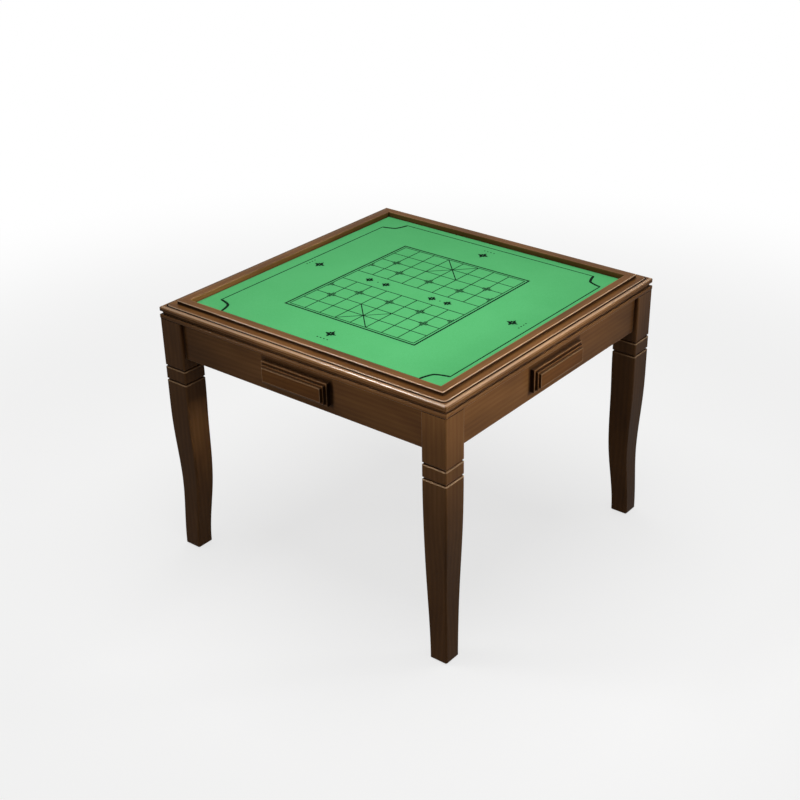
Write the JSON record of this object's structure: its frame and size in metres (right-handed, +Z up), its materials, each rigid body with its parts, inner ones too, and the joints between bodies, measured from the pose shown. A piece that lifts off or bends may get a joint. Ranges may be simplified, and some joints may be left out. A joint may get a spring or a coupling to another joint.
{
  "type": "square game table with side drawers",
  "caption": "Square wooden game table with a moulded edge, a sunk printed playing surface, V-grooved tapering legs and a shallow drawer sliding out of each side.",
  "frame": {"origin": "on the floor under the middle of the table", "axes": "+Z up, +X and +Y square to the table's sides; the front drawer slides out along -Y"},
  "size_m": [0.976, 0.976, 0.76],
  "materials": {
    "lacquered_wood": "satin stained lacquer",
    "bare_wood": "planed, unfinished",
    "plywood": "sanded plywood",
    "printed_baize": "short nap, printed with dark green lines",
    "zinc_steel": "bright zinc plate",
    "glide_nylon": "moulded, dull"
  },
  "bodies": {
    "table": {"apron_back": "lacquered_wood", "apron_front": "lacquered_wood", "apron_left": "lacquered_wood", "apron_right": "lacquered_wood", "bead_rail_back": "lacquered_wood", "bead_rail_front": "lacquered_wood", "bead_rail_left": "lacquered_wood", "bead_rail_right": "lacquered_wood", "board_battens": "bare_wood", "bolt_nuts": "zinc_steel", "bolt_washers": "zinc_steel", "corner_block_back_left": "bare_wood", "corner_block_back_right": "bare_wood", "corner_block_front_left": "bare_wood", "corner_block_front_right": "bare_wood", "corner_screws": "zinc_steel", "drawer_runners_back": "bare_wood", "drawer_runners_front": "bare_wood", "drawer_runners_left": "bare_wood", "drawer_runners_right": "bare_wood", "foot_glides": "glide_nylon", "hanger_bolts": "zinc_steel", "leg_back_left": "lacquered_wood", "leg_back_right": "lacquered_wood", "leg_front_left": "lacquered_wood", "leg_front_right": "lacquered_wood", "mitre_splines": "bare_wood", "play_board": "plywood", "play_surface": "printed_baize", "runner_cross_ties": "bare_wood", "runner_rear_stops": "bare_wood", "top_rail_back": "lacquered_wood", "top_rail_front": "lacquered_wood", "top_rail_left": "lacquered_wood", "top_rail_right": "lacquered_wood", "top_screws": "zinc_steel"},
    "front_drawer": {"drawer_front_back": "bare_wood", "drawer_front_bottom": "plywood", "drawer_front_front": "lacquered_wood", "drawer_front_left_side": "bare_wood", "drawer_front_right_side": "bare_wood", "drawer_front_stop_pegs": "bare_wood"},
    "right_drawer": {"drawer_right_back": "bare_wood", "drawer_right_bottom": "plywood", "drawer_right_front": "lacquered_wood", "drawer_right_left_side": "bare_wood", "drawer_right_right_side": "bare_wood", "drawer_right_stop_pegs": "bare_wood"},
    "back_drawer": {"drawer_back_back": "bare_wood", "drawer_back_bottom": "plywood", "drawer_back_front": "lacquered_wood", "drawer_back_left_side": "bare_wood", "drawer_back_right_side": "bare_wood", "drawer_back_stop_pegs": "bare_wood"},
    "left_drawer": {"drawer_left_back": "bare_wood", "drawer_left_bottom": "plywood", "drawer_left_front": "lacquered_wood", "drawer_left_left_side": "bare_wood", "drawer_left_right_side": "bare_wood", "drawer_left_stop_pegs": "bare_wood"}
  },
  "joints": [
    {"name": "front_drawer_slide", "type": "slide", "parent": "table", "child": "front_drawer", "axis": [0, -1, 0], "range_m": [0, 0.2]},
    {"name": "right_drawer_slide", "type": "slide", "parent": "table", "child": "right_drawer", "axis": [1, 0, 0], "range_m": [0, 0.2]},
    {"name": "back_drawer_slide", "type": "slide", "parent": "table", "child": "back_drawer", "axis": [0, 1, 0], "range_m": [0, 0.2]},
    {"name": "left_drawer_slide", "type": "slide", "parent": "table", "child": "left_drawer", "axis": [-1, 0, 0], "range_m": [0, 0.2]}
  ]
}
